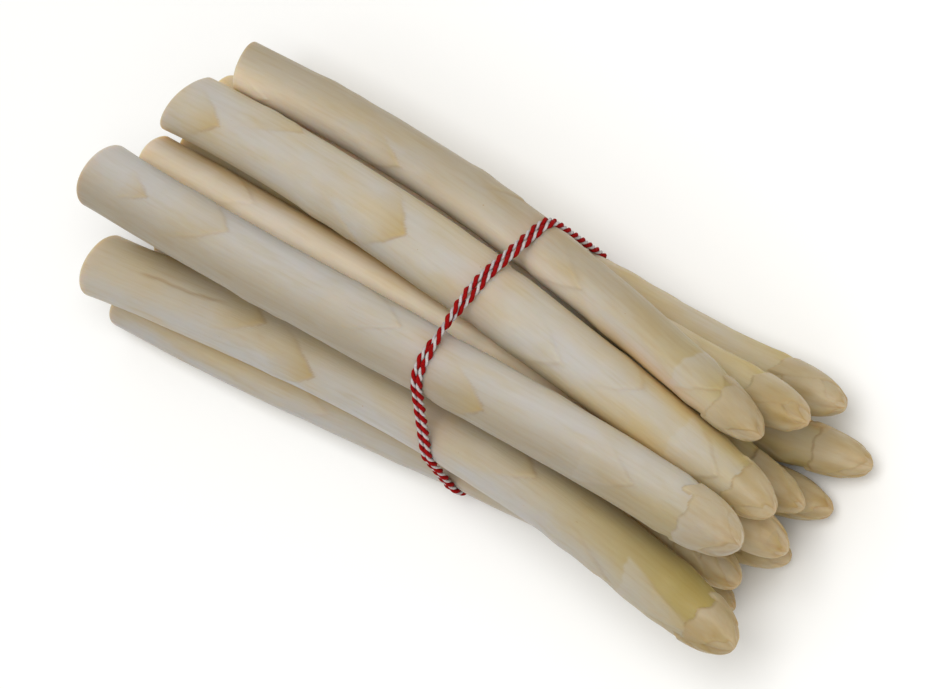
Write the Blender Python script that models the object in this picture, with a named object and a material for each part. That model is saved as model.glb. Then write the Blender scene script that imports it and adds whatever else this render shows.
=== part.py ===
"""A bundle of white asparagus: thirteen spears lying on their side, tied once round the waist with twine.

Metres, +Z up, +X from the cut butts to the tips. The origin is under the middle of the bundle, on the
surface that it lies on. The sizes below are in millimetres, measured from the tie: x = 0 is where the
twine goes round, y = 0 is the middle of the bundle there, and z = 0 is the surface.
"""
import math
from typing import NamedTuple

import bpy
from mathutils import Vector

MM = 0.001
GAP = 0.3                 # clearance kept between pieces that touch
TWINE = 1.8               # thickness of the twine
STATIONS = 15             # rings along the body of a spear
BUD_RINGS = 6             # rings along its closed tip
BUD_ROUNDNESS = 2.2       # 2 is an ellipse, more is blunter
ARC_STEP = 24.0           # degrees between the twine's points where it bends round a spear


class Spear(NamedTuple):
    """One spear: the middle of its cut butt, of its waist at the tie, and its very tip.

    girth is its thickness at the butt, at half its length and at the shoulder, below the bud.
    sway is how far it leans sideways and upwards out of a plain bow, like a flat S.
    """
    name: str
    butt: tuple
    waist: tuple
    tip: tuple
    girth: tuple
    bud: float
    sway: tuple = (0.0, 0.0)


SPEARS = (
    # the four thick ones on top
    Spear("spear_01", (-122, -12.5, 41.5), (-9.5, 46.0), (98, -9.0, 50.0), (17.6, 17.0, 14.6), 19, (-1, 0)),
    Spear("spear_02", (-120, 15.0, 33.0), (12.0, 41.5), (95, 1.5, 37.5), (17.2, 18.4, 13.6), 20, (0.5, -0.5)),
    Spear("spear_03", (-110, 31.0, 28.5), (28.5, 33.5), (85, 15.5, 44.5), (14.0, 14.0, 11.6), 19, (0.5, -2)),
    Spear("spear_04", (-122, -33.0, 20.5), (-22.5, 26.5), (100, -31.0, 29.0), (17.0, 16.0, 15.4), 20, (-1, -3)),
    # the middle of the bundle
    Spear("spear_05", (-119, -2.0, 29.0), (-0.5, 31.5), (97, -4.5, 25.0), (13.6, 13.0, 13.0), 20),
    Spear("spear_06", (-118, 6.0, 17.5), (9.5, 22.5), (91, 6.5, 17.5), (13.2, 12.2, 12.4), 19),
    Spear("spear_09", (-118, 21.5, 18.5), (22.5, 21.0), (88, 24.5, 33.5), (12.8, 12.0, 12.0), 19),
    Spear("spear_13", (-118, -14.5, 21.0), (-8.5, 20.5), (88, -17.5, 20.5), (12.8, 12.0, 13.0), 19),
    # the five that lie on the surface
    Spear("spear_07", (-119, -39.0, 6.2), (-28.0, 9.5), (83, -23.0, 5.5), (12.4, 12.6, 11.6), 20, (-1.5, -1)),
    Spear("spear_12", (-118, -17.5, 6.5), (-14.5, 8.5), (89, -5.5, 5.5), (12.8, 12.0, 12.4), 20),
    Spear("spear_11", (-116, -2.0, 6.5), (-2.0, 8.7), (92, 10.0, 5.5), (13.0, 12.2, 12.0), 20),
    Spear("spear_10", (-113, 15.0, 6.6), (11.5, 8.7), (96, 24.0, 7.5), (13.2, 12.4, 13.0), 23),
    Spear("spear_08", (-118, 28.5, 6.9), (29.0, 9.5), (85, 33.0, 14.5), (13.6, 13.0, 12.4), 19, (2, 0)),
)

# The twine goes round twice. The turns lie side by side and change sides once, over the valley between
# spears 01 and 02. The knot sits underneath, in the groove between spears 10 and 08.
TURN_SIDE = 1.05          # each turn's distance from the tie's middle
PASS_SIDE = 1.6           # the same where the twine passes the knot
KNOT = Vector((1.9, 20.2, 2.3))
KNOT_REACH = 4.0          # half the knot's length
KNOT_RADIUS = 1.05        # the two strands wind round each other this far from its axis
KNOT_STEPS = 9            # steps of 60 degrees: one and a half turns
END_FORWARD = ((2.2, 4.0, 0.5), (5.0, 2.8, -0.4), (9.0, 1.6, -0.9), (15.0, 0.8, -1.0), (21.0, 1.2, -1.0),
               (26.0, 2.2, -1.0))
END_BACK = ((-2.6, -3.6, 1.3), (-5.4, -2.6, 1.0), (-9.0, -1.4, -0.5), (-13.0, -0.6, -1.0), (-19.0, 0.0, -1.0),
            (-24.0, -0.4, -1.0))

COLLECTION = "bundle_of_asparagus"
FLESH = (0.72, 0.66, 0.50, 1.0)
TWINE_RED = (0.45, 0.12, 0.11, 1.0)


def material(name, colour, roughness):
    """A Principled material of one colour."""
    made = bpy.data.materials.new(name)
    made.use_nodes = True
    shader = made.node_tree.nodes["Principled BSDF"]
    shader.inputs["Base Color"].default_value = colour
    shader.inputs["Roughness"].default_value = roughness
    shader.inputs["Metallic"].default_value = 0.0
    return made


def centre_at(spear, x):
    """The middle of the spear at x: a bow through butt, waist and tip, with the sway added."""
    xb, xt = spear.butt[0], spear.tip[0]
    at_butt = x * (x - xt) / (xb * (xb - xt))
    at_waist = (x - xb) * (x - xt) / (xb * xt)
    at_tip = (x - xb) * x / ((xt - xb) * xt)
    lean = (x - xb) * x * (x - xt) / (0.384 * abs(xb) * xt * max(abs(xb), xt))
    y, z = (
        spear.butt[k + 1] * at_butt + spear.waist[k] * at_waist + spear.tip[k + 1] * at_tip + spear.sway[k] * lean
        for k in (0, 1)
    )
    return Vector((x, y, z))


def radius_at(spear, x):
    """Half the spear's thickness at x, closing to a blunt point along the bud."""
    along = (x - spear.butt[0]) / (spear.tip[0] - spear.butt[0])
    butt, middle, shoulder = (g / 2 for g in spear.girth)
    body = butt + (middle - butt) * along * 2 if along < 0.5 else middle + (shoulder - middle) * (along * 2 - 1)
    left = min(1.0, max(0.0, (spear.tip[0] - x) / spear.bud))
    return body * math.sqrt(max(0.0, 1 - (1 - left) ** BUD_ROUNDNESS))


def tube(name, points, radii, sides_resolution):
    """A closed tube along the points, in millimetres, each with its own radius."""
    curve = bpy.data.curves.new(name, "CURVE")
    curve.dimensions = "3D"
    curve.bevel_depth = MM
    curve.bevel_resolution = sides_resolution
    curve.use_fill_caps = True
    spline = curve.splines.new("POLY")
    spline.points.add(len(points) - 1)
    for place, point, radius in zip(spline.points, points, radii):
        place.co = (*(point * MM), 1.0)
        place.radius = radius
    return bpy.data.objects.new(name, curve)


def make_spear(spear):
    """A bowed, tapered rod with a flat cut butt and a rounded bud."""
    xb, xt = spear.butt[0], spear.tip[0]
    shoulder = xt - spear.bud
    xs = [xb + (shoulder - xb) * k / (STATIONS - 1) for k in range(STATIONS)]
    xs += [shoulder + spear.bud * math.sin(math.radians(86 * k / BUD_RINGS)) for k in range(1, BUD_RINGS + 1)]
    return tube(spear.name, [centre_at(spear, x) for x in xs], [radius_at(spear, x) for x in xs], 3)


def outline_round(circles):
    """The corners of a string pulled tight round circles (y, z, radius), as (y, z, circle number), from below,
    up the -Y side and back down the +Y side."""
    dots = []
    for number, (y, z, r) in enumerate(circles):
        for degrees in range(0, 360, 2):
            a = math.radians(degrees)
            dots.append((y + r * math.cos(a), z + r * math.sin(a), number, degrees))
    dots.sort()

    def half(ordered):
        kept = []
        for dot in ordered:
            while len(kept) > 1 and (kept[-1][0] - kept[-2][0]) * (dot[1] - kept[-2][1]) <= \
                    (kept[-1][1] - kept[-2][1]) * (dot[0] - kept[-2][0]):
                kept.pop()
            kept.append(dot)
        return kept[:-1]

    around = half(dots) + half(dots[::-1])       # anticlockwise, seen from the tips
    around.reverse()                             # up the -Y side first
    while around[0][2] == around[-1][2]:         # begin where the string meets a circle
        around.append(around.pop(0))
    corners = []
    while around:
        number = around[0][2]
        run = [d for d in around if d[2] == number]
        around = [d for d in around if d[2] != number]
        y, z, r = circles[number]
        first = run[0][3]
        sweep = (first - run[-1][3]) % 360
        steps = max(1, math.ceil(sweep / ARC_STEP))
        reach = r / math.cos(math.radians(sweep / steps / 2))
        for k in range(steps + 1):
            a = math.radians(first - sweep * k / steps)
            corners.append((y + reach * math.cos(a), z + reach * math.sin(a), number))
    past_knot = max((c for c in corners if c[0] < KNOT.y and c[1] < 2 * TWINE), key=lambda c: c[0])
    first = corners.index(past_knot)
    return corners[first:] + corners[:first]


def turn(corners, x_start, x_left, x_right, x_end, bridge, lifted):
    """One turn of twine along the corners. It changes from x_left to x_right over the bridge, the straight
    stretch between two spears, where a lifted turn humps over the other."""
    count = len(corners)
    gate = next(k for k in range(count - 1) if {corners[k][2], corners[k + 1][2]} == bridge)
    points = []
    for k, (y, z, _) in enumerate(corners):
        if k <= gate:
            x = x_start + (x_left - x_start) * min(1.0, k / 4)
        else:
            x = x_end + (x_right - x_end) * min(1.0, (count - 1 - k) / 4)
        points.append(Vector((x, y, z)))
        if k == gate:
            here, there = corners[k], corners[k + 1]
            run = Vector((0, there[0] - here[0], there[1] - here[1]))
            outward = Vector((0, -run.z, run.y)).normalized()
            for part in (0.25, 0.5, 0.75):
                across = 2 * part - 1
                hump = 2 * (TURN_SIDE + GAP / 2) * math.sqrt(1 - across * across) if lifted else 0.0
                x_between = x_left + (x_right - x_left) * part
                points.append(Vector((x_between, here[0], here[1])) + run * part + outward * hump)
    return points


def knot_strand(from_left):
    """One of the two strands of the knot, from its low end to its high end."""
    points = []
    for k in range(KNOT_STEPS + 1):
        a = math.radians(-90 + 60 * k)
        along = KNOT_REACH * (2 * k / KNOT_STEPS - 1)
        side = 1 if from_left else -1
        points.append(KNOT + Vector((side * KNOT_RADIUS * math.cos(a), side * along, KNOT_RADIUS * math.sin(a))))
    return points


def make_twine():
    """One length of twine: an end, the knot, twice round the waist, the knot and the other end."""
    reach = TWINE / 2 + GAP
    circles = [(*centre_at(s, 0.0).yz, radius_at(s, 0.0) + reach) for s in SPEARS]
    corners = outline_round(circles)
    numbers = {s.name: k for k, s in enumerate(SPEARS)}
    bridge = {numbers["spear_01"], numbers["spear_02"]}
    first = turn(corners, KNOT.x, TURN_SIDE, -TURN_SIDE, -PASS_SIDE, bridge, True)
    second = turn(corners, -PASS_SIDE, -TURN_SIDE, TURN_SIDE, KNOT.x, bridge, False)
    end_one = [KNOT + Vector(p) for p in END_FORWARD]
    end_two = [KNOT + Vector(p) for p in END_BACK]
    route = end_two[::-1] + knot_strand(False)[::-1] + second[::-1] + first[::-1] + knot_strand(True) + end_one
    return tube("twine", route, [TWINE / 2] * len(route), 2)


def main():
    for old in list(bpy.data.objects):
        bpy.data.objects.remove(old, do_unlink=True)
    bundle = bpy.data.collections.new(COLLECTION)
    bpy.context.scene.collection.children.link(bundle)
    flesh = material("asparagus", FLESH, 0.45)
    cord = material("twine", TWINE_RED, 0.8)
    made = []
    for piece, finish in [(make_spear(s), flesh) for s in SPEARS] + [(make_twine(), cord)]:
        piece.data.materials.append(finish)
        bundle.objects.link(piece)
        made.append(piece)
    bpy.context.view_layer.update()
    corners = [Vector(c) for piece in made for c in piece.bound_box]
    low = Vector(min(c[k] for c in corners) for k in range(3))
    high = Vector(max(c[k] for c in corners) for k in range(3))
    for piece in made:
        piece.location = (-(low.x + high.x) / 2, -(low.y + high.y) / 2, -low.z)


main()
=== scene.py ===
# %% [markdown]
# # A bundle of white asparagus
#
# Thirteen spears of white asparagus lie on a table, tied round the waist with red and white baker's twine.
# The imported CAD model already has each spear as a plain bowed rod, and the twine as one smooth cord. Here
# every rod becomes a real spear, with scale leaves, a closed bud and a cut butt, and the cord becomes two
# twisted strands. Nothing is moved: each spear is grown round the middle line of its own CAD rod.

# %% Load the CAD model
import math

import bmesh
import bpy
import numpy as np
from mathutils import Matrix, Vector, noise


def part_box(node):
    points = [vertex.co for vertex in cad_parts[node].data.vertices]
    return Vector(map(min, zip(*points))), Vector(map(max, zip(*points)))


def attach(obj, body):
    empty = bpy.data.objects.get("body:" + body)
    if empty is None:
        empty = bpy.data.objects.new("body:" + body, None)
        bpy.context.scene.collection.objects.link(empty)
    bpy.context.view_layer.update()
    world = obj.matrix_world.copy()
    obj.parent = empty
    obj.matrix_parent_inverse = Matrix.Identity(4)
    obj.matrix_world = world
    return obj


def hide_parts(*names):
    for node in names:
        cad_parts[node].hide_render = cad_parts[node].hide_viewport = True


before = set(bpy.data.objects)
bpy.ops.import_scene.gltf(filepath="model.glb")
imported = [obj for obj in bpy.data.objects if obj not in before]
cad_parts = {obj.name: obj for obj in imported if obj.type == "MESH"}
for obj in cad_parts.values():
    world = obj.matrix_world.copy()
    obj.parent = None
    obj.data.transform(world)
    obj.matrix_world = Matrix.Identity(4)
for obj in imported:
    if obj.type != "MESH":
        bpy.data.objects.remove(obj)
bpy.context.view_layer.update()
MM = 0.001
SPEARS = sorted(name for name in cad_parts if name.startswith("spear"))


# %% [markdown]
# ## The middle line of each spear
#
# A spear bows gently, so its middle line is a smooth curve. Each CAD rod is cut with planes across its
# length, and the middle and the half thickness of every slice are read. A cubic through the middles gives
# one smooth curve, which is the line that the detailed spear follows. All lengths from here on are in
# millimetres.

# %% Slice a CAD rod
def slice_across(node, x):
    """Middle (y, z) and radius of a CAD rod where the plane at x cuts it."""
    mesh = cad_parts[node].data
    places = np.array([v.co for v in mesh.vertices]) / MM
    edges = np.array([e.vertices for e in mesh.edges])
    start, end = places[edges[:, 0]], places[edges[:, 1]]
    crossing = (start[:, 0] - x) * (end[:, 0] - x) < 0
    start, end = start[crossing], end[crossing]
    cuts = start + (end - start) * ((x - start[:, 0]) / (end[:, 0] - start[:, 0]))[:, None]
    middle = (cuts[:, 1:].min(0) + cuts[:, 1:].max(0)) / 2
    return middle, np.linalg.norm(cuts[:, 1:] - middle, axis=1).max()


# %% Follow each rod
BUD = 19.5                     # length of the closed tip
STEM_SLICES = 13
BUD_SLICES = (12, 6, 2)        # where the bud is sliced, in mm back from the tip
SQUARE_OF_BUTT = 6             # the first slice is this far from the butt


class Line:
    """The middle line of one spear, and how thick the spear is along it."""

    def __init__(self, node):
        low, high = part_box(node)
        self.node = node
        self.butt, self.tip = low.x / MM, high.x / MM
        self.length = self.tip - self.butt
        stations = np.linspace(self.butt + SQUARE_OF_BUTT, self.tip - BUD, STEM_SLICES)
        slices = [slice_across(node, x) for x in stations]
        in_bud = [self.tip - back for back in BUD_SLICES]
        xs = np.append(stations, in_bud)
        middles = np.array([s[0] for s in slices + [slice_across(node, x) for x in in_bud]])
        self.y = np.polyfit(xs, middles[:, 0], 3)
        self.z = np.polyfit(xs, middles[:, 1], 3)
        self.stations, self.radii = stations, np.array([s[1] for s in slices])

    def middle(self, x):
        return np.stack([x, np.polyval(self.y, x), np.polyval(self.z, x)], -1)

    def body(self, x):
        """Half the thickness of the stem, without the closing of the bud."""
        return np.interp(x, self.stations, self.radii)

    def around(self, x, turn, radius):
        """The point at x, turn degrees round from the top towards +Y, and radius from the middle line."""
        rise_y, rise_z = np.polyder(self.y), np.polyder(self.z)
        slope = np.stack([np.ones_like(x), np.polyval(rise_y, x), np.polyval(rise_z, x)], -1)
        ahead = slope / np.linalg.norm(slope, axis=-1, keepdims=True)
        up = np.array([0.0, 0.0, 1.0]) - ahead * ahead[..., 2:3]
        up /= np.linalg.norm(up, axis=-1, keepdims=True)
        side = np.cross(up, ahead)
        angle = np.radians(turn)
        outward = up * np.cos(angle)[..., None] + side * np.sin(angle)[..., None]
        return self.middle(x) + outward * np.asarray(radius)[..., None]


LINES = {node: Line(node) for node in SPEARS}
for line in LINES.values():
    print(line.node, "length", round(line.length), "thickness", round(2 * line.body(line.butt + 60), 1))


# %% [markdown]
# ## Where the scale leaves grow
#
# A spear is a shoot that hasn't opened. A small triangular scale leaf grows from each of its nodes, pressed
# flat on the skin and pointing at the tip. The nodes go round the stem by a golden angle from one to the
# next, and they crowd towards the tip, where the leaves overlap and close into the bud. The leaves of the
# four spears on top are placed one by one, and the rest follow the rule.

# %% Plan the leaves
GOLDEN = 137.5
# Each leaf: where its base is (mm from the middle of the tie), how far round its middle is, half its width
# in degrees, its length, and how yellow it has turned, from 0 to 1.
PLACED = {
    "spear_01": [(-108, 8, 34, 9, 0.7), (-91, 28, 75, 20, 0.5), (-62, -120, 60, 18, 0.4),
                 (-32, 25, 62, 22, 0.25), (7, -32, 58, 15.5, 0.9), (34, 130, 60, 18, 0.4),
                 (52, -10, 60, 17, 0.2)],
    "spear_02": [(-108, -12, 52, 13, 0.8), (-89, 60, 62, 16, 0.6), (-60, -62, 66, 20, 0.5),
                 (-40, 2, 72, 14, 1.0), (-8, 150, 60, 18, 0.4), (12, -20, 60, 20, 0.1),
                 (40, 36, 58, 13, 0.4), (66, -8, 70, 16, 0.3)],
    "spear_03": [(-102, -50, 26, 6, 1.0), (-84, 120, 60, 18, 0.4), (-61, -30, 56, 13, 0.9),
                 (-28, 75, 60, 17, 0.3), (5, -10, 58, 18, 0.2), (30, -120, 60, 17, 0.4),
                 (59, 25, 80, 14, 0.5)],
    "spear_04": [(-106, 160, 60, 15, 0.4), (-78, 18, 52, 17, 0.8), (-58, -28, 66, 18, 1.0),
                 (-20, 110, 60, 18, 0.3), (17, 22, 60, 18, 0.5), (46, -60, 60, 20, 0.3),
                 (69, -36, 46, 24, 0.2)],
}
FIRST_GAP = 13.0               # mm from the bud to the last leaf below it
GAP_GROWTH = 1.32              # each gap further down is this much longer than the one before
LEAF_LONGEST = 19.0
BARE_BUTT = 14                 # no leaf grows on the last stretch before the cut


def leaves_by_rule(line, number):
    """Leaves up the stem of a spear that has none listed, from the tip down."""
    planned = []
    gap, at, turn = FIRST_GAP, line.tip - BUD - FIRST_GAP, 47.0 * number
    while at > line.butt + BARE_BUTT:
        half = 56 + 10 * math.sin(number + at)
        length = min(LEAF_LONGEST, gap * 0.9 + 3)
        yellow = 0.35 + 0.3 * math.sin(turn)
        planned.append((at - tie_x, turn % 360 - 180, half, length, yellow))
        gap *= GAP_GROWTH
        at -= gap
        turn += GOLDEN
    return planned


twine_places = np.array([v.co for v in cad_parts["twine"].data.vertices]) / MM
top_of_tie = twine_places[twine_places[:, 2] > twine_places[:, 2].max() - 6]
tie_x = (top_of_tie[:, 0].min() + top_of_tie[:, 0].max()) / 2
print("the tie is at x =", round(tie_x, 1), "mm")


# %% [markdown]
# ## One blank for all spears
#
# All spears are made from the same blank: a cylinder lying along X, one unit long, cut into many fine rings,
# with its far end drawn to a point and its near end closed by shrinking rings like the cut face of a stalk.
# It is modelled once. Each spear is a bent copy of it, with its own length, bow, thickness and leaves.

# %% Model the stem blank
SIDES = 120
RINGS = (44, 10)               # the cylinder is cut into 44 lengths, and each of those into 10
CUT_FACE = (0.97, 0.96, 0.92, 0.85, 0.8, 0.7, 0.6, 0.5, 0.4)     # each ring as a share of the one outside it
END = 0.4999                   # beyond this x, either way, only an end of the blank is left


def clear_selection():
    bpy.ops.object.select_all(action="DESELECT")


def pick(mesh, element, wanted):
    """Selects the vertices, edges or faces for which wanted is true, and nothing else."""
    grown = bmesh.from_edit_mesh(mesh)
    bpy.ops.mesh.select_all(action="DESELECT")
    for item in getattr(grown, element):
        if wanted(item):
            item.select_set(True)
    bmesh.update_edit_mesh(mesh)


def stem_blank():
    clear_selection()
    bpy.ops.mesh.primitive_cylinder_add(
        vertices=SIDES, radius=1.0, depth=1.0, end_fill_type="NOTHING", rotation=(0, math.pi / 2, 0)
    )
    blank = bpy.context.object
    blank.name = "stem_blank"
    bpy.ops.object.transform_apply(location=False, rotation=True, scale=False)
    bpy.ops.object.mode_set(mode="EDIT")
    bpy.ops.mesh.select_mode(type="EDGE")
    for pieces in RINGS:
        pick(blank.data, "edges", lambda e: abs(e.verts[0].co.x - e.verts[1].co.x) > 0.001)
        bpy.ops.mesh.subdivide(number_cuts=pieces - 1)
    # the far end is drawn to a point
    pick(blank.data, "edges", lambda e: min(v.co.x for v in e.verts) > END)
    bpy.ops.mesh.extrude_region_move(TRANSFORM_OT_translate={"value": (0.001, 0, 0)})
    bpy.ops.mesh.merge(type="CENTER")
    # the near end is closed by shrinking rings
    pick(blank.data, "edges", lambda e: max(v.co.x for v in e.verts) < -END)
    for shrink in CUT_FACE:
        bpy.ops.mesh.extrude_region_move(TRANSFORM_OT_translate={"value": (0, 0, 0)})
        bpy.ops.transform.resize(value=(1, shrink, shrink), center_override=(-0.5, 0, 0))
    bpy.ops.mesh.extrude_region_move(TRANSFORM_OT_translate={"value": (0, 0, 0)})
    bpy.ops.mesh.merge(type="CENTER")
    bpy.ops.mesh.select_all(action="SELECT")
    bpy.ops.mesh.normals_make_consistent(inside=False)
    bpy.ops.object.mode_set(mode="OBJECT")
    return blank


STEM_BLANK = stem_blank()
print("stem blank:", len(STEM_BLANK.data.vertices), "points")

# %% [markdown]
# ## Shaping the skin
#
# The stem is never a perfect tube. It is a little oval, it swells under each leaf, its thickness wanders,
# and the twine presses a shallow dent round it. A scale leaf is a thin triangle lying tight on the skin:
# almost nothing at its base, and about 0.4 mm at its point, with a step along its edge. All of it is a change
# of radius, worked out for all points of the blank at once. Where leaves overlap, as they do all over the
# bud, the one that stands highest is the one that shows, so each point also remembers which leaf that was.

# %% Unevenness
DENT = 0.35                   # how deep the twine presses in


def smooth_step(value, start, end):
    t = np.clip((value - start) / (end - start), 0, 1)
    return t * t * (3 - 2 * t)


def wander(number, x, turn):
    """Slow unevenness of spear number's skin, from about -1 to 1, the same each run."""
    angle = np.radians(turn)
    spots = np.stack([x / 26, 1.1 * np.cos(angle), 1.1 * np.sin(angle) + 9.7 * number], -1)
    small = np.stack([x / 9, 2.2 * np.cos(angle), 2.2 * np.sin(angle) + 5.3 * number], -1)
    slow = np.array([noise.noise(Vector(p)) for p in spots.reshape(-1, 3)]).reshape(x.shape)
    quick = np.array([noise.noise(Vector(p)) for p in small.reshape(-1, 3)]).reshape(x.shape)
    return 0.75 * slow + 0.25 * quick


def apart(turn, other):
    """Degrees from one direction to another, from -180 to 180."""
    return (turn - other + 180) % 360 - 180


# %% A crack in the skin
# A long shallow crack: its start and its end, each as mm from the middle of the tie, and turn.
SPLITS = {"spear_04": (-107, 9, -73, 21)}
SPLIT_WIDTH = 0.42             # from the middle of the crack to where it is two thirds gone
SPLIT_DEPTH = 0.16


def beside_split(skin, x, turn):
    """1 along the bottom of the crack in a spear's skin, falling to 0 beside it."""
    if skin.line.node not in SPLITS:
        return np.zeros_like(x)
    start_x, start_turn, end_x, end_turn = SPLITS[skin.line.node]
    share = (x - tie_x - start_x) / (end_x - start_x)
    crack = start_turn + (end_turn - start_turn) * share + 1.6 * np.sin(9 * share) + 0.7 * np.sin(31 * share)
    away = np.abs(apart(turn, crack)) * math.pi / 180 * skin.line.body(x)
    ends = smooth_step(share, 0, 0.15) * smooth_step(-share, -1, -0.75)
    return ends * np.exp(-((away / SPLIT_WIDTH) ** 2))


# %% Leaves on the stem, and scales over the bud
LEAF_STAND = 0.42             # how far a leaf's point stands off the skin
STEP = 0.55                   # width of the slope at the edge of a scale of the bud
SOFT_STEP = 0.95              # and at the edge of a leaf on the stem
# The scales that close the bud. Each row is: how far down the cap its base is, as a share of the cap's
# length, half its width in degrees, and its layer. The outermost has the highest layer.
BUD_SCALES = [(0.40, 70, 0), (0.62, 80, 1), (0.86, 100, 2), (1.0, 118, 3)]
SCALE_TURN = 150               # degrees from one scale of the bud to the next
SCALE_YELLOW = 0.3
LAYER_RISE = 0.13              # how much higher each layer of scales stands
NO_EDGE = 9.0                  # mm, further than the colour of an edge reaches
# How long the cap is that the scales make, in mm from the tip.
CAP = {"spear_01": 17.0, "spear_02": 13.0, "spear_03": 15.5,
       "spear_04": 12.0, "spear_08": 18.5, "spear_10": 16.5}
USUAL_CAP = 17.0


class Relief:
    """What the leaves do to the skin at each point: how high they stand, and which one is on top."""

    def __init__(self, skin, x, turn):
        self.stand = np.zeros_like(x)
        self.along = np.zeros_like(x)        # from the base of the top leaf, 0, to its point, 1
        self.edge = np.full_like(x, NO_EDGE)     # distance in mm to the nearest edge that shows
        self.edge_along = np.zeros_like(x)   # how far up its leaf that edge is
        self.yellow = np.zeros_like(x)
        self.cover = np.zeros_like(x)        # 1 on a leaf, fading to 0 at its edge
        self.on_bud = np.zeros(x.shape, bool)
        for base, middle, half, length, yellow in skin.leaves:
            self.add(skin, x, turn, base + tie_x, middle, half, length, yellow, 0, False)
        for step, (share, half, layer) in enumerate(BUD_SCALES):
            length = skin.cap * share
            turned = skin.bud_turn + SCALE_TURN * step
            base = skin.line.tip - length
            self.add(skin, x, turn, base, turned, half, length * 0.97, SCALE_YELLOW, layer, True)

    def add(self, skin, x, turn, base, middle, half, length, yellow, layer, bud):
        off = apart(turn, middle)
        across = off / half
        # the base line curves and wavers a little, and in the bud it is ragged
        wavering = 0.5 * np.sin(across * 5 + middle) + 0.25 * np.sin(across * 17 + middle)
        start = base - 1.4 * across**2 + wavering
        if bud:
            start = start + 1.5 * np.abs((1.9 * across + 0.13 * middle) % 1 - 0.5)
        along = (x - start) / length
        outline = 1 - np.clip(along, 0, 1) ** (2.6 if bud else 1.4)
        round_mm = math.pi / 180 * skin.line.body(x) * (skin.bud_share(x) if bud else 1)
        to_side = (half * outline - np.abs(off)) * round_mm
        to_base = along * length
        inside = np.minimum(to_side, to_base)
        here = (inside > 0) & (along < 1)
        height = LEAF_STAND * ((0.25 if bud else 0.05) + 0.85 * along)
        height = height + LAYER_RISE * layer * (1 - 0.5 * along)
        slope = STEP if bud else SOFT_STEP
        height = height * smooth_step(to_side, 0, slope) * smooth_step(to_base, 0, slope)
        on_top = here & (height >= self.stand)
        near = (np.abs(inside) < 3) & (height >= self.stand - 0.05) & (along < 1.05)
        closer = on_top | (near & (np.abs(inside) < self.edge))
        self.edge = np.where(closer, np.abs(inside), self.edge)
        self.edge_along = np.where(closer, np.clip(along, 0, 1), self.edge_along)
        self.stand = np.where(on_top, height, self.stand)
        self.along = np.where(on_top, along, self.along)
        self.yellow = np.where(on_top, yellow, self.yellow)
        self.cover = np.where(on_top, smooth_step(inside, 0, slope), self.cover)
        self.on_bud = np.where(on_top, bud, self.on_bud)


# %% The surface of a spear
OVAL = 0.018                   # how far the stem is from round, as a share of its radius
UNEVEN, MORE_UNEVEN = 0.30, 0.35     # mm of unevenness on the stem, and how much more there is by the bud
SWELL, SWELL_LENGTH, SWELL_REACH = 0.44, 4.0, 95     # the bulge under a leaf: mm, mm along, degrees round
DENT_LENGTH = 2.6              # mm along the stem
FLARE, FLARE_LENGTH = 0.25, 14     # the butt is this much thicker, over this length
SHOULDER = 0.55                # how much thinner the bud is under its scales
FOLD_DEPTH = 0.30


class Skin:
    """The surface of one spear: its radius at any x and turn."""

    def __init__(self, node):
        self.line = LINES[node]
        self.number = SPEARS.index(node) + 1
        self.leaves = PLACED.get(node) or leaves_by_rule(self.line, self.number)
        self.oval_turn = 71.0 * self.number
        self.bud_turn = BUD_TURN.get(node, 40.0 * self.number)
        self.cap = CAP.get(node, USUAL_CAP)

    def bud_share(self, x):
        """The bud's radius as a share of the body's: 1 up to the shoulder, 0 at the very tip."""
        left = np.clip((self.line.tip - x) / BUD, 0, 1)
        return np.sqrt(np.clip(1 - (1 - left) ** 2.2, 0, 1))

    def folds(self, x, turn, uneven):
        """The folds that run into the point of the bud, from -1 to 1, and nothing further down."""
        angle = np.radians(turn)
        broad = 0.6 * np.cos(5 * angle + 2.3 * self.number + 3 * uneven)
        waves = broad + 0.4 * np.cos(8 * angle + self.number)
        return waves * smooth_step(x, self.line.tip - 12, self.line.tip - 2)

    def radius(self, x, turn, uneven, stand):
        tip = self.line.tip
        body = self.line.body(x) * (1 + OVAL * np.cos(2 * np.radians(turn - self.oval_turn)))
        body = body + (UNEVEN + MORE_UNEVEN * smooth_step(x, tip - 45, tip - 15)) * uneven
        for base, middle, _, _, _ in self.leaves:
            swell = np.exp(-(((x - tie_x - base) / SWELL_LENGTH) ** 2))
            swell = swell * np.clip(1 - np.abs(apart(turn, middle)) / SWELL_REACH, 0, 1)
            body = body + SWELL * swell
        body = body - DENT * np.exp(-(((x - tie_x) / DENT_LENGTH) ** 2))
        body = body + FLARE * np.clip((self.line.butt + FLARE_LENGTH - x) / FLARE_LENGTH, 0, 1) ** 2
        share = self.bud_share(x)
        body = body - SPLIT_DEPTH * beside_split(self, x, turn)
        body = body * share - SHOULDER * share * smooth_step(x, tip - BUD - 3, tip - BUD + 3)
        folded = FOLD_DEPTH * self.folds(x, turn, uneven) * share
        return np.maximum(body + stand * (0.25 + 0.75 * share) + folded, 0.02)


# Which way the first scale of the bud faces, on the spears whose tips show best.
BUD_TURN = {"spear_01": 60.0, "spear_02": 100.0, "spear_03": 80.0, "spear_04": 90.0, "spear_08": 30.0,
            "spear_10": 75.0}
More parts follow.
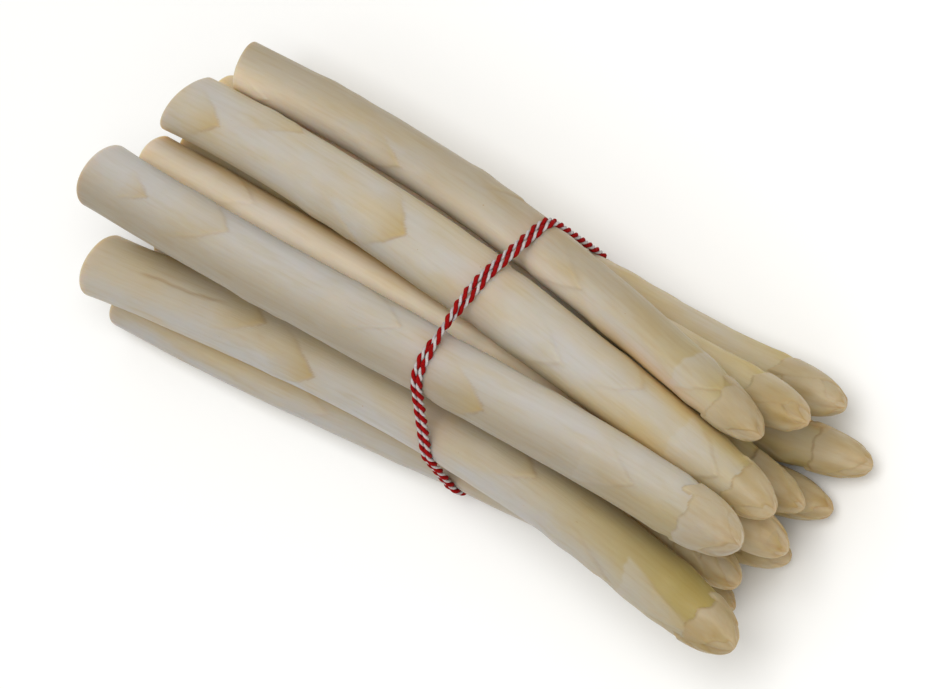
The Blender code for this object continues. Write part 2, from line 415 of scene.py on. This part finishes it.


# %% [markdown]
# ## Colour from where a point is
#
# The skin of white asparagus is close to white, creamy on some spears, and olive yellow between the last
# leaves. On the side away from the light it is painted creamier and dimmer, which is painted shade. Leaves
# turn khaki towards their point and have a thin brown line along their edge, partly their own colour and
# partly painted contact shade. Where two spears touch, a warm painted glow stands in for the light that gets
# through the flesh, and a brown painted shade for the crevice; beside the tie, a pink tint is painted
# reflection of the red twine. Each point of the mesh carries its own mixed colour in an attribute, and the
# material adds the fine grain.

# %% Mix the flesh colours
PALE = np.array((0.452, 0.432, 0.402))
CREAM = np.array((0.470, 0.375, 0.205))
DIM = np.array((0.330, 0.285, 0.215))
OLIVE = np.array((0.385, 0.295, 0.095))
# A darker olive, painted shade, for a spear that lies in the shade of the one above it.
SHADED_OLIVE = np.array((0.345, 0.268, 0.088))
KHAKI = np.array((0.390, 0.285, 0.105))
BUD_CREAM = np.array((0.345, 0.258, 0.112))
BUD_LIGHT = np.array((0.435, 0.365, 0.245))
EDGE_BROWN = np.array((0.280, 0.155, 0.040))
EDGE_TAN = np.array((0.300, 0.205, 0.062))
PINK = np.array((0.530, 0.340, 0.285))
# The next three colours are painted light and shade where spears touch: a warm painted glow of light through
# the flesh, a brown painted shade for the crevice, and a pale painted glow for an inner side lit by its
# neighbours.
WARM_GLOW_PAINT = np.array((0.640, 0.500, 0.255))
CREVICE_SHADE_PAINT = np.array((0.540, 0.330, 0.105))
PAINTED_GLOW = np.array((0.780, 0.680, 0.540))
# How creamy each spear is, from 0, the whitest, to 1.
CREAMINESS = {"spear_01": 0.05, "spear_02": 0.25, "spear_03": 0.30,
              "spear_04": 0.15, "spear_05": 0.2, "spear_07": 0.2}
USUAL_CREAMINESS = 0.6
# Painted shade: which way each spear faces the light and is palest, and how much dimmer it is painted on the
# far side from there.
LIT_SIDE = {"spear_01": (45, 0.75), "spear_02": (0, 0.15), "spear_03": (-50, 0.45),
          "spear_04": (-70, 0.12), "spear_07": (-70, 0.25)}
USUAL_LIT_SIDE = (0, 0.1)
# How yellow each spear is under its cap, and how far down the stem that reaches, in mm.
YELLOWING = {"spear_01": (0.45, 30), "spear_02": (0.85, 52), "spear_03": (0.75, 40), "spear_04": (1.1, 60)}
USUAL_YELLOWING = (0.85, 38)
# Painted light: how much the inner side of a spear is painted as shining with light from its neighbours, and
# which way that side faces.
INNER_GLOW = {"spear_03": (1.3, -90), "spear_05": (0.9, -60), "spear_09": (1.4, 0)}
# How far the brown painted shade of a crevice reaches from the line where two spears touch, in mm.
CREVICE_SHADE_REACH = {"spear_05": 8.0, "spear_04": 5.0}
USUAL_CREVICE_SHADE_REACH = 3.0
# How far the painted warm glow and the painted inner glow reach, in mm.
WARM_GLOW_REACH, GLOW_REACH = 7.0, 11.0     # the same for the warm colour and for the glow
# Painted shade on a spear's outer side, which gets less light: which way it faces, and how much darker it is
# painted there.
SHADED = {"spear_01": (-75, 0.20), "spear_03": (75, 0.16), "spear_04": (-80, 0.14), "spear_07": (-80, 0.20)}
# A pink blush: where its middle is, as mm from the middle of the tie, and turn.
BLUSH = {"spear_03": (52, -58)}
BLUSH_SIZE = (16, 24)          # in mm along and in degrees round
EDGE_WIDTH = 0.65              # mm that the brown line of an edge is wide


def mix(colour, other, share):
    share = np.clip(share, 0, 1)[..., None]
    return colour * (1 - share) + other * share


def nearness(own, points, reach):
    """1 where a point touches another spear, falling to 0 at reach."""
    total = np.zeros(len(points))
    for node, line in LINES.items():
        if node == own:
            continue
        x = points[:, 0]
        inside = (x > line.butt) & (x < line.tip - 2)
        away = np.linalg.norm(points - line.middle(x), axis=1) - line.body(x)
        total += np.where(inside, np.clip(1 - away / reach, 0, 1) ** 2, 0)
    return np.clip(total, 0, 1)


def stem_colour(skin, x, turn, uneven):
    """The colour of the bare stem, before anything that grows or lies on it."""
    node, from_tip = skin.line.node, skin.line.tip - x
    pale = np.broadcast_to(PALE, (len(x), 3))
    colour = mix(pale, CREAM, CREAMINESS.get(node, USUAL_CREAMINESS) + 0.7 * uneven)
    # Painted shade: on the side away from the light the skin is painted creamier and dimmer, and the spear's
    # own olive under the cap is painted stronger there.
    lit_turn, shade_amount = LIT_SIDE.get(node, USUAL_LIT_SIDE)
    shaded_side = smooth_step(np.abs(apart(turn, lit_turn)), 15, 110)
    colour = mix(colour, CREAM, 0.6 * shaded_side)
    colour = mix(colour, DIM, shade_amount * shaded_side)
    yellowing, reach = YELLOWING.get(node, USUAL_YELLOWING)
    yellowing = yellowing * (0.45 + 0.55 * smooth_step(shaded_side, 0, 0.6))
    # spear_04 lies in the shade of spear_01, so its olive is painted darker: painted shade.
    olive = SHADED_OLIVE if node == "spear_04" else OLIVE
    colour = mix(colour, olive, yellowing * np.clip(1 - (from_tip - skin.cap) / reach, 0, 1))
    if node in BLUSH:
        blush_x, blush_turn = BLUSH[node]
        away = ((x - tie_x - blush_x) / BLUSH_SIZE[0]) ** 2 + (apart(turn, blush_turn) / BLUSH_SIZE[1]) ** 2
        colour = mix(colour, PINK, 0.55 * np.exp(-away))
    return colour


def bud_colour(skin, x, turn, uneven, relief):
    """The colour of the scales that close the bud, mottled, with browner points, and painted shade in the
    grooves of the folds.
    """
    paleness = 0.25 if CREAMINESS.get(skin.line.node, USUAL_CREAMINESS) < 0.1 else 0.0
    bud = np.broadcast_to(BUD_CREAM, (len(x), 3))
    bud = mix(bud, PALE, paleness + 0.20 * (1 - relief.along) + 0.3 * uneven)
    bud = mix(bud, BUD_LIGHT, 0.25 + 1.1 * wander(skin.number + 20, 2.4 * x, turn))
    bud = mix(bud, EDGE_BROWN, 0.30 * np.clip((relief.along - 0.75) / 0.25, 0, 1) ** 2)
    # brown in the grooves of the folds: painted shade
    return mix(bud, EDGE_BROWN, 0.5 * np.clip(-skin.folds(x, turn, uneven) - 0.45, 0, 1))


def paint_crevice_light_and_shade(skin, x, turn, points, colour):
    """Painted light and shade: a warm painted glow and a brown painted crevice shade towards a neighbour, or
    painted light shining from it, and painted shade on the outer side.
    """
    node = skin.line.node
    amount, facing = INNER_GLOW.get(node, (0.0, 0))
    in_light = smooth_step(tie_x - x, -40, 0) * smooth_step(-np.abs(apart(turn, facing)), -120, -60)
    shine = amount * in_light
    lit = np.clip(shine, 0, 1)
    before_tip = 0.25 + 0.75 * smooth_step(skin.line.tip - x, 14, 40)
    # a warm painted glow and a brown painted crevice shade near a neighbour
    colour = mix(colour, WARM_GLOW_PAINT, 0.75 * nearness(node, points, WARM_GLOW_REACH) * (1 - lit) * before_tip)
    reach = CREVICE_SHADE_REACH.get(node, USUAL_CREVICE_SHADE_REACH)
    colour = mix(colour, CREVICE_SHADE_PAINT, 0.85 * nearness(node, points, reach) * (1 - 0.6 * lit) * before_tip)
    # painted light on the inner side, from its neighbours
    if amount:
        colour = mix(colour, PAINTED_GLOW, shine * nearness(node, points, GLOW_REACH))
    shaded_turn, darker = SHADED.get(node, (0, 0.0))
    # painted shade on the outer side
    return colour * (1 - darker * smooth_step(-np.abs(apart(turn, shaded_turn)), -110, -10))[:, None]


def flesh_colour(skin, x, turn, uneven, relief, points):
    """The colour of the skin with its leaves, painted light and shade included."""
    from_tip = skin.line.tip - x
    colour = stem_colour(skin, x, turn, uneven)
    stem_leaf = relief.cover * ~relief.on_bud
    paler = np.clip(1 - (from_tip - 17) / 45, 0, 1)
    colour = mix(colour, PALE, stem_leaf * 0.62 * paler * np.clip(1 - relief.along, 0, 1))
    khaki = relief.yellow * (0.05 + 0.85 * relief.along**1.3) * (1 - 0.5 * paler)
    colour = mix(colour, KHAKI, stem_leaf * khaki)
    bare_bud = smooth_step(-from_tip, -0.62 * skin.cap, -0.55 * skin.cap)
    colour = mix(colour, bud_colour(skin, x, turn, uneven, relief), np.where(relief.on_bud, 1.0, bare_bud))
    # A line along each edge: brown on stem leaves, tan on bud scales; partly their own edge colour and partly
    # painted contact shade at the step.
    line_near = np.exp(-((relief.edge / EDGE_WIDTH) ** 2))
    leaf_line = (0.08 + 0.40 * relief.yellow) * relief.edge_along**1.5
    colour = mix(colour, EDGE_BROWN, np.where(relief.on_bud, 0.0, leaf_line) * line_near)
    colour = mix(colour, EDGE_TAN, np.where(relief.on_bud, 0.28, 0.0) * line_near)
    colour = mix(colour, EDGE_BROWN, 0.40 * beside_split(skin, x, turn))
    # Painted reflection: a pink tint beside the tie stands in for red light thrown back from the twine.
    colour = mix(colour, PINK, 0.18 * np.exp(-(((x - tie_x) / 7) ** 2)))
    return paint_crevice_light_and_shade(skin, x, turn, points, colour)


# %% Bend a copy of the blank
def points_of(mesh):
    flat = np.empty(len(mesh.vertices) * 3)
    mesh.vertices.foreach_get("co", flat)
    return flat.reshape(-1, 3)


def write_looks(mesh, grain, colour, cut):
    """Stores where each point is on the straightened spear, its colour, and whether it is on the cut face."""
    mesh.attributes.new("grain", "FLOAT_VECTOR", "POINT").data.foreach_set("vector", grain.ravel())
    rgba = np.concatenate([colour, np.ones((len(colour), 1))], 1)
    mesh.attributes.new("flesh", "FLOAT_COLOR", "POINT").data.foreach_set("color", rgba.ravel())
    mesh.attributes.new("cut", "FLOAT", "POINT").data.foreach_set("value", cut)


# How far the cut at the butt slants, in mm from one side to the other, and towards which turn it is longest.
SLANT = {"spear_01": (1.5, -100), "spear_02": (9.0, -135), "spear_03": (2.5, 150), "spear_04": (2.5, -60)}
STEM_SHARE = 0.84              # the share of the rings that the stem has, before the bud
REST = 0.45                    # height in mm below which the skin gives way to the table
SLANT_LENGTH = 12              # mm of stem over which the slant of the cut dies out
ONE_SPEAR_APART = 1000         # keeps the pattern of one spear clear of the next


def bend_stem(skin):
    mesh = STEM_BLANK.data.copy()
    flat = points_of(mesh)
    turn = np.degrees(np.arctan2(flat[:, 1], flat[:, 2]))
    inward = np.clip(np.hypot(flat[:, 1], flat[:, 2]), 0, 1)
    along = np.clip(flat[:, 0] + 0.5, 0, 1)
    line = skin.line
    bud_part = np.clip((along - STEM_SHARE) / (1 - STEM_SHARE), 0, 1)
    x = np.where(along < STEM_SHARE, line.butt + (line.length - BUD) * along / STEM_SHARE,
                 line.tip - BUD * (1 - np.sin(bud_part * math.pi / 2)))
    slant, slant_turn = SLANT.get(line.node, (1.0, 40.0 * skin.number))
    tilt = inward * np.cos(np.radians(turn - slant_turn)) * slant / 2
    x = x + np.clip(1 - (x - line.butt) / SLANT_LENGTH, 0, 1) * (slant / 2 - tilt)
    uneven = wander(skin.number, x, turn)
    relief = Relief(skin, x, turn)
    radius = skin.radius(x, turn, uneven, relief.stand)
    on_cut = (flat[:, 0] < -END) & (inward < 0.999)
    # the rim of the cut is rounded off, and the cut face is slightly hollow
    x = x + np.where(on_cut, -0.25 + 0.5 * (1 - inward) ** 0.5, 0)
    radius = np.where(on_cut, radius * inward, radius)
    points = line.around(x, turn, radius)
    # where the skin would reach below the table, it is pressed flat on it
    low = points[:, 2] < REST
    points[:, 2] = np.where(low, REST * np.exp(np.minimum(points[:, 2], REST) / REST - 1), points[:, 2])
    mesh.vertices.foreach_set("co", (points * MM).ravel())
    mesh.update()
    angle = np.radians(turn)
    lengthwise = x - line.butt + ONE_SPEAR_APART * skin.number
    grain = np.stack([lengthwise, radius * np.sin(angle), radius * np.cos(angle)], -1)
    write_looks(mesh, grain, flesh_colour(skin, x, turn, uneven, relief, points), on_cut.astype(float))
    return mesh


# %% Grow all the spears
def grow(node):
    spear = bpy.data.objects.new("visual_" + node, bend_stem(Skin(node)))
    bpy.context.scene.collection.objects.link(spear)
    clear_selection()
    spear.select_set(True)
    bpy.context.view_layer.objects.active = spear
    bpy.ops.object.shade_smooth_by_angle(angle=math.radians(60))
    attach(spear, "root")
    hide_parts(node)
    return spear


VISUAL = [grow(node) for node in SPEARS]
print("triangles in all:", sum(len(p.vertices) - 2 for v in VISUAL for p in v.data.polygons))
bpy.data.objects.remove(STEM_BLANK)


# %% [markdown]
# ## The skin's material
#
# The mixed colour comes from the points. The material breaks it up with long streaks that run with the
# fibres, soft cloudy patches, and a few tiny dark specks. All patterns are laid on the straightened spear, so
# they follow its bow. Light goes some way into the flesh and comes out warm, which is what subsurface
# scattering does. The cut face shows the ends of the fibre bundles as small dots.

# %% Node helpers
def new_material(name):
    made = bpy.data.materials.new(name)
    made.use_nodes = True
    return made, made.node_tree.nodes, made.node_tree.links, made.node_tree.nodes["Principled BSDF"]


def add_mix(nodes, links, share, first, second, blend="MIX"):
    """A colour mix node. share, first and second may be sockets or plain values."""
    node = nodes.new("ShaderNodeMix")
    node.data_type = "RGBA"
    node.blend_type = blend
    node.clamp_factor = True
    for place, value in ((0, share), (6, first), (7, second)):
        if isinstance(value, bpy.types.NodeSocket):
            links.new(value, node.inputs[place])
        else:
            node.inputs[place].default_value = value if place == 0 else (*value, 1.0)
    return node.outputs[2]


def add_ramp(nodes, links, source, low, high):
    """0 below low, 1 above high, smooth between."""
    node = nodes.new("ShaderNodeMapRange")
    node.interpolation_type = "SMOOTHSTEP"
    node.inputs["From Min"].default_value = low
    node.inputs["From Max"].default_value = high
    links.new(source, node.inputs["Value"])
    return node.outputs["Result"]


def add_noise(nodes, links, place, scale, stretch=(1, 1, 1), detail=3.0):
    mapping = nodes.new("ShaderNodeMapping")
    mapping.inputs["Scale"].default_value = stretch
    links.new(place, mapping.inputs["Vector"])
    node = nodes.new("ShaderNodeTexNoise")
    node.inputs["Scale"].default_value = scale
    node.inputs["Detail"].default_value = detail
    links.new(mapping.outputs["Vector"], node.inputs["Vector"])
    return node.outputs["Fac"]


# %% Asparagus skin
# The patterns read the grain attribute, which is in millimetres along and across the straightened spear.
CLOUD_TINT = (0.97, 0.92, 0.80)
DARK_STREAK_TINT = (0.96, 0.93, 0.87)
PALE_STREAK_TINT = (1.03, 1.04, 1.04)
FLECK = (0.33, 0.23, 0.12)
CUT_FLESH = (0.60, 0.54, 0.40)
FIBRE_END = (0.50, 0.42, 0.27)
FIBRES_PER_MM = 1.05


def asparagus_skin():
    made, nodes, links, shader = new_material("asparagus_skin")
    grain = nodes.new("ShaderNodeAttribute")
    grain.attribute_name = "grain"
    place = grain.outputs["Vector"]
    # The flesh attribute holds the mixed colour, painted light and shade included.
    flesh = nodes.new("ShaderNodeAttribute")
    flesh.attribute_name = "flesh"
    cut = nodes.new("ShaderNodeAttribute")
    cut.attribute_name = "cut"
    streaks = add_noise(nodes, links, place, 1.0, (0.07, 1.1, 1.1), 4)
    clouds = add_noise(nodes, links, place, 1.0, (0.05, 0.16, 0.16), 3)
    flecks = add_noise(nodes, links, place, 1.0, (0.8, 1.5, 1.5), 1)
    cloudy = add_ramp(nodes, links, clouds, 0.48, 0.75)
    colour = add_mix(nodes, links, cloudy, flesh.outputs["Color"], CLOUD_TINT, "MULTIPLY")
    dark_streaks = add_ramp(nodes, links, streaks, 0.45, 0.80)
    colour = add_mix(nodes, links, dark_streaks, colour, DARK_STREAK_TINT, "MULTIPLY")
    pale_streaks = add_ramp(nodes, links, streaks, 0.48, 0.25)
    colour = add_mix(nodes, links, pale_streaks, colour, PALE_STREAK_TINT, "MULTIPLY")
    colour = add_mix(nodes, links, add_ramp(nodes, links, flecks, 0.80, 0.86), colour, FLECK)
    dots = nodes.new("ShaderNodeTexVoronoi")
    dots.inputs["Scale"].default_value = FIBRES_PER_MM
    links.new(place, dots.inputs["Vector"])
    fibre_ends = add_ramp(nodes, links, dots.outputs["Distance"], 0.34, 0.10)
    core = add_mix(nodes, links, fibre_ends, CUT_FLESH, FIBRE_END)
    colour = add_mix(nodes, links, cut.outputs["Fac"], colour, core)
    links.new(colour, shader.inputs["Base Color"])
    fine = add_noise(nodes, links, place, 1.0, (0.25, 3.2, 3.2), 3)
    bump = nodes.new("ShaderNodeBump")
    bump.inputs["Strength"].default_value = 0.30
    bump.inputs["Distance"].default_value = 0.0002
    links.new(fine, bump.inputs["Height"])
    links.new(bump.outputs["Normal"], shader.inputs["Normal"])
    gloss = add_ramp(nodes, links, streaks, 0.2, 0.8)
    spread = nodes.new("ShaderNodeMapRange")
    spread.inputs["To Min"].default_value = 0.42
    spread.inputs["To Max"].default_value = 0.60
    links.new(gloss, spread.inputs["Value"])
    links.new(spread.outputs["Result"], shader.inputs["Roughness"])
    shader.inputs["Specular IOR Level"].default_value = 0.35
    shader.inputs["Subsurface Weight"].default_value = 0.75
    shader.inputs["Subsurface Radius"].default_value = (1.0, 0.62, 0.33)
    shader.inputs["Subsurface Scale"].default_value = 0.006
    return made


skin_material = asparagus_skin()
for spear in VISUAL:
    spear.data.materials.clear()
    spear.data.materials.append(skin_material)
print("skin material:", len(skin_material.node_tree.nodes), "nodes")


# %% [markdown]
# ## The route of the twine
#
# The twine is one length of cord. It starts under the bundle, goes through its knot, twice round the waist,
# back through the knot and out again. A string pulled tight round a bundle follows the hull of its spears:
# straight between two of them and bent round each. The two turns lie side by side and change sides once, over
# the valley between the two top spears.

# %% Pull a string tight round the waist
TWINE = 1.7                    # thickness, as far as lying against a spear goes
PRESSED_IN = 0.15              # the twine sinks this far into the skin


def turns_inward(before, here, after):
    """True where a string through the three dots would not touch the middle one."""
    return ((here[0] - before[0]) * (after[1] - before[1])
            <= (here[1] - before[1]) * (after[0] - before[0]))


def pull_tight(dots):
    """The dots (y, z, spear) that a tight string touches, clockwise seen from the tips."""
    dots = sorted(dots)

    def half(ordered):
        kept = []
        for dot in ordered:
            while len(kept) > 1 and turns_inward(kept[-2], kept[-1], dot):
                kept.pop()
            kept.append(dot)
        return kept[:-1]

    around = half(dots) + half(dots[::-1])
    return around[::-1]


def dots_round_the_waist():
    """Where the middle of the twine could lie against each spear, one dot a degree."""
    dots = []
    for number, node in enumerate(SPEARS):
        skin = Skin(node)
        turn = np.arange(0.0, 360.0)
        x = np.full(360, tie_x)
        uneven = wander(skin.number, x, turn)
        stand = Relief(skin, x, turn).stand
        radius = skin.radius(x, turn, uneven, stand) + TWINE / 2 - PRESSED_IN
        for place in skin.line.around(x, turn, radius):
            dots.append((place[1], place[2], number))
    return dots


HULL = pull_tight(dots_round_the_waist())
length_round = sum(math.dist(a[:2], b[:2]) for a, b in zip(HULL, HULL[1:] + HULL[:1]))
print("a tight string touches", len({h[2] for h in HULL}), "spears, and is", round(length_round), "mm round")


# %% Two turns side by side
KNOT_AHEAD = 1.9                               # the knot sits this far towards the tips
KNOT = np.array((tie_x + KNOT_AHEAD, 23.04, 1.99))     # in the groove under the bundle
TURN_SIDE = 0.86                               # each turn's distance from the middle of the tie
PASS_SIDE = 1.6                                # the same where the twine passes the knot
CLEAR = 1.72                                   # from one turn's middle to the other's
TURN_SAMPLE = 0.4                              # mm between the points of a turn
EASE = 14.0                                    # the length over which a turn settles into its place
SWAP = 24.0                                    # the length over which the turns change sides


def make_turns():
    """The points of the first turn and of the second."""
    under = [h for h in HULL if h[0] < KNOT[1] and h[1] < 6]
    begin = HULL.index(max(under))
    ordered = HULL[begin:] + HULL[:begin]
    path = np.array([(y, z) for y, z, _ in ordered])
    gate = next(k for k, (a, b) in enumerate(zip(ordered, ordered[1:])) if (a[2], b[2]) == (0, 1))
    lengths = np.append(0, np.cumsum(np.linalg.norm(np.diff(path, axis=0), axis=1)))
    at = np.arange(0, lengths[-1], TURN_SAMPLE)
    y, z = np.interp(at, lengths, path[:, 0]), np.interp(at, lengths, path[:, 1])
    gate_at = (lengths[gate] + lengths[gate + 1]) / 2
    swap = smooth_step(at, gate_at - SWAP / 2, gate_at + SWAP / 2)
    start, end = 1 - smooth_step(at, 0, EASE), smooth_step(at, lengths[-1] - EASE, lengths[-1])
    to_knot, past_knot = KNOT_AHEAD - TURN_SIDE, PASS_SIDE - TURN_SIDE
    x_first = TURN_SIDE * (1 - 2 * swap) + to_knot * start - past_knot * end
    x_second = -TURN_SIDE * (1 - 2 * swap) - past_knot * start + to_knot * end
    lift = np.sqrt(np.clip(CLEAR**2 - (x_first - x_second) ** 2, 0, None))
    lift = lift * (np.abs(at - gate_at) < SWAP)
    heading = np.stack([np.gradient(y), np.gradient(z)], -1)
    heading = heading / np.linalg.norm(heading, axis=1, keepdims=True)
    outward = np.stack([-heading[:, 1], heading[:, 0]], -1)
    first = np.stack([tie_x + x_first, y + outward[:, 0] * lift, z + outward[:, 1] * lift], -1)
    second = np.stack([tie_x + x_second, y, z], -1)
    return first, second


# %% The knot, and the whole route
KNOT_REACH = 4.0
KNOT_RADIUS = 1.0
KNOT_STEPS = 9
END_FORWARD = ((2.2, 4.0, 0.5), (5.0, 2.8, -0.4), (9.0, 1.6, -0.9), (15.0, 0.8, -1.0), (21.0, 1.2, -1.0),
               (26.0, 2.2, -1.0))
END_BACK = ((-2.6, -3.6, 1.3), (-5.4, -2.6, 1.0), (-9.0, -1.4, -0.5), (-13.0, -0.6, -1.0), (-19.0, 0.0, -1.0),
            (-24.0, -0.4, -1.0))
SAMPLE = 0.25                                  # mm between the points of the finished route


def knot_strand(side):
    """One of the two strands that wind round each other in the knot, from its low end to its high end."""
    steps = np.arange(KNOT_STEPS + 1)
    angle = np.radians(-90 + 60 * steps)
    along = side * KNOT_REACH * (2 * steps / KNOT_STEPS - 1)
    return KNOT + np.stack([side * KNOT_RADIUS * np.cos(angle), along, KNOT_RADIUS * np.sin(angle)], -1)


def rounded(points, spacing, window):
    """The same route with a point every spacing, and its corners rounded over a window of points."""
    for _ in range(2):
        lengths = np.append(0, np.cumsum(np.linalg.norm(np.diff(points, axis=0), axis=1)))
        at = np.linspace(0, lengths[-1], int(lengths[-1] / spacing) + 1)
        points = np.stack([np.interp(at, lengths, points[:, k]) for k in range(3)], -1)
        padded = np.pad(points, ((window, window), (0, 0)), mode="reflect", reflect_type="odd")
        share = np.hanning(2 * window + 1)
        share /= share.sum()
        points = np.stack([np.convolve(padded[:, k], share, mode="valid") for k in range(3)], -1)
    return points, lengths[-1]


first, second = make_turns()
ROUTE, TWINE_LENGTH = rounded(np.concatenate([
    KNOT + np.array(END_FORWARD[::-1]), knot_strand(1)[::-1], first, second, knot_strand(-1),
    KNOT + np.array(END_BACK)]), SAMPLE, 4)
print("the twine is", round(TWINE_LENGTH), "mm long, with", len(ROUTE), "points")


# %% [markdown]
# ## Two plies twisted together
#
# Baker's twine is two yarns, one red and one white, laid round each other. The red bars on it are the red
# yarn coming round to the front, so the true shape is two helices, half a turn apart, and no painted stripe
# is needed. The twist runs down to the right, which rope makers call an S twist. Each ply is a bevelled curve
# that becomes a mesh.

# %% Lay the two plies
PLY_RADIUS = {"twine_red_ply": 0.55, "twine_white_ply": 0.37}
PLY_OFFSET = 0.41              # from the middle of the twine to the middle of a ply
PLY_LOWEST = 0.05              # height of a ply above the table where it lies on it
LAY = 4.2                      # length of one full twist


def frames_along(points):
    """Directions along, and two across, that don't spin as the route bends."""
    ahead = np.gradient(points, axis=0)
    ahead /= np.linalg.norm(ahead, axis=1, keepdims=True)
    across = np.zeros_like(points)
    across[0] = np.cross(ahead[0], (0, 0, 1))
    across[0] /= np.linalg.norm(across[0])
    for k in range(1, len(points)):
        kept = across[k - 1] - ahead[k] * np.dot(across[k - 1], ahead[k])
        across[k] = kept / np.linalg.norm(kept)
    return across, np.cross(ahead, across)


def lay_ply(name, phase):
    across, up = frames_along(ROUTE)
    angle = (-2 * math.pi * np.arange(len(ROUTE)) * SAMPLE / LAY + phase)[:, None]
    middle = ROUTE + PLY_OFFSET * (np.cos(angle) * across + np.sin(angle) * up)
    middle[:, 2] = np.maximum(middle[:, 2], PLY_RADIUS[name] + PLY_LOWEST)
    curve = bpy.data.curves.new(name, "CURVE")
    curve.dimensions = "3D"
    curve.bevel_depth = PLY_RADIUS[name] * MM
    curve.bevel_resolution = 3
    curve.use_fill_caps = True
    spline = curve.splines.new("POLY")
    spline.points.add(len(middle) - 1)
    spline.points.foreach_set("co", np.concatenate([middle * MM, np.ones((len(middle), 1))], 1).ravel())
    ply = bpy.data.objects.new(name, curve)
    bpy.context.scene.collection.objects.link(ply)
    clear_selection()
    ply.select_set(True)
    bpy.context.view_layer.objects.active = ply
    bpy.ops.object.convert(target="MESH")
    ply = bpy.context.object
    bpy.ops.object.mode_set(mode="EDIT")
    bpy.ops.mesh.select_all(action="SELECT")
    bpy.ops.mesh.remove_doubles(threshold=1e-6)
    bpy.ops.object.mode_set(mode="OBJECT")
    bpy.ops.object.shade_smooth()
    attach(ply, "root")
    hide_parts("twine")
    return ply


PLIES = [lay_ply("twine_red_ply", 0.0), lay_ply("twine_white_ply", math.pi)]
print("each ply has", len(PLIES[0].data.polygons), "faces")


# %% Cotton yarn
def cotton(name, colour, shade):
    made, nodes, links, shader = new_material(name)
    place = nodes.new("ShaderNodeTexCoord").outputs["Object"]
    fibres = add_noise(nodes, links, place, 4200.0, (1, 1, 1), 3)
    soft = add_noise(nodes, links, place, 700.0, (1, 1, 1), 2)
    mixed = add_mix(nodes, links, add_ramp(nodes, links, fibres, 0.40, 0.70), colour, shade)
    soiled = add_ramp(nodes, links, soft, 0.45, 0.75)
    mixed = add_mix(nodes, links, soiled, mixed, (0.80, 0.78, 0.78), "MULTIPLY")
    links.new(mixed, shader.inputs["Base Color"])
    bump = nodes.new("ShaderNodeBump")
    bump.inputs["Strength"].default_value = 0.6
    bump.inputs["Distance"].default_value = 0.0001
    links.new(fibres, bump.inputs["Height"])
    links.new(bump.outputs["Normal"], shader.inputs["Normal"])
    shader.inputs["Roughness"].default_value = 0.85
    shader.inputs["Specular IOR Level"].default_value = 0.06
    shader.inputs["Sheen Weight"].default_value = 0.03
    return made


RED_COTTON = cotton("red_cotton", (0.30, 0.003, 0.003), (0.14, 0.002, 0.002))
WHITE_COTTON = cotton("white_cotton", (0.52, 0.49, 0.48), (0.34, 0.32, 0.32))
for ply, finish in zip(PLIES, (RED_COTTON, WHITE_COTTON)):
    ply.data.materials.clear()
    ply.data.materials.append(finish)
print("cotton materials:", RED_COTTON.name, WHITE_COTTON.name)


# %% [markdown]
# ## Floor, light and camera
#
# The bundle lies on a plain pale floor. One broad soft lamp hangs above, a little towards the tips, a weaker
# one fills from the tips' side, and a pale world lights the rest. The camera looks down on the bundle from
# high up, a little from the tips' side, through a long lens.

# %% Floor
clear_selection()
bpy.ops.mesh.primitive_plane_add(size=6.0, location=(0, 0, 0))
floor = bpy.context.object
floor.name = "floor"
paper, nodes, links, shader = new_material("pale_floor")
shader.inputs["Base Color"].default_value = (0.90, 0.90, 0.89, 1)
shader.inputs["Roughness"].default_value = 0.9
floor.data.materials.append(paper)
print("floor:", floor.name, "with", paper.name)


# %% Lights
def softbox(name, place, aim, size, power):
    bpy.ops.object.light_add(type="AREA", location=place)
    lamp = bpy.context.object
    lamp.name = name
    lamp.data.shape = "SQUARE"
    lamp.data.size = size
    lamp.data.energy = power
    lamp.rotation_euler = (Vector(aim) - Vector(place)).to_track_quat("-Z", "Y").to_euler()


softbox("key", (0.30, 0.05, 1.1), (0, 0, 0), 0.7, 7.2)
softbox("fill", (0.9, -0.7, 0.7), (0, 0, 0), 0.8, 1.4)
world = bpy.data.worlds.new("pale_room")
bpy.context.scene.world = world
world.use_nodes = True
world.node_tree.nodes["Background"].inputs["Color"].default_value = (1.0, 0.99, 0.97, 1)
world.node_tree.nodes["Background"].inputs["Strength"].default_value = 0.70
bpy.context.scene.view_settings.view_transform = "Standard"


# %% Camera
PITCH = math.radians(31.5)      # from straight above towards the tips
ROLL = math.atan2(0.515, 0.857)     # about 31 degrees, so that the spears run down to the right
DISTANCE = 1.1
AIM = Vector((tie_x * MM, 0.00284, 0.0092))      # the middle of the tie, low down
OFF_CENTRE = (0.01493, -0.00721)                 # how far right of the aim and above it the view is centred
FOCAL = 168.0

towards = Vector((math.sin(PITCH), 0, math.cos(PITCH)))
sideways = Vector((math.cos(PITCH), 0, -math.sin(PITCH)))
right = sideways * math.cos(ROLL) + Vector((0, 1, 0)) * math.sin(ROLL)
up = sideways * -math.sin(ROLL) + Vector((0, 1, 0)) * math.cos(ROLL)
camera_data = bpy.data.cameras.new("camera")
camera = bpy.data.objects.new("camera", camera_data)
bpy.context.scene.collection.objects.link(camera)
camera.location = AIM + towards * DISTANCE - right * OFF_CENTRE[0] - up * OFF_CENTRE[1]
camera.rotation_euler = Matrix((right, up, towards)).transposed().to_euler()
camera_data.lens = FOCAL
camera_data.sensor_width = 36.0
camera_data.clip_end = 20.0
bpy.context.scene.camera = camera
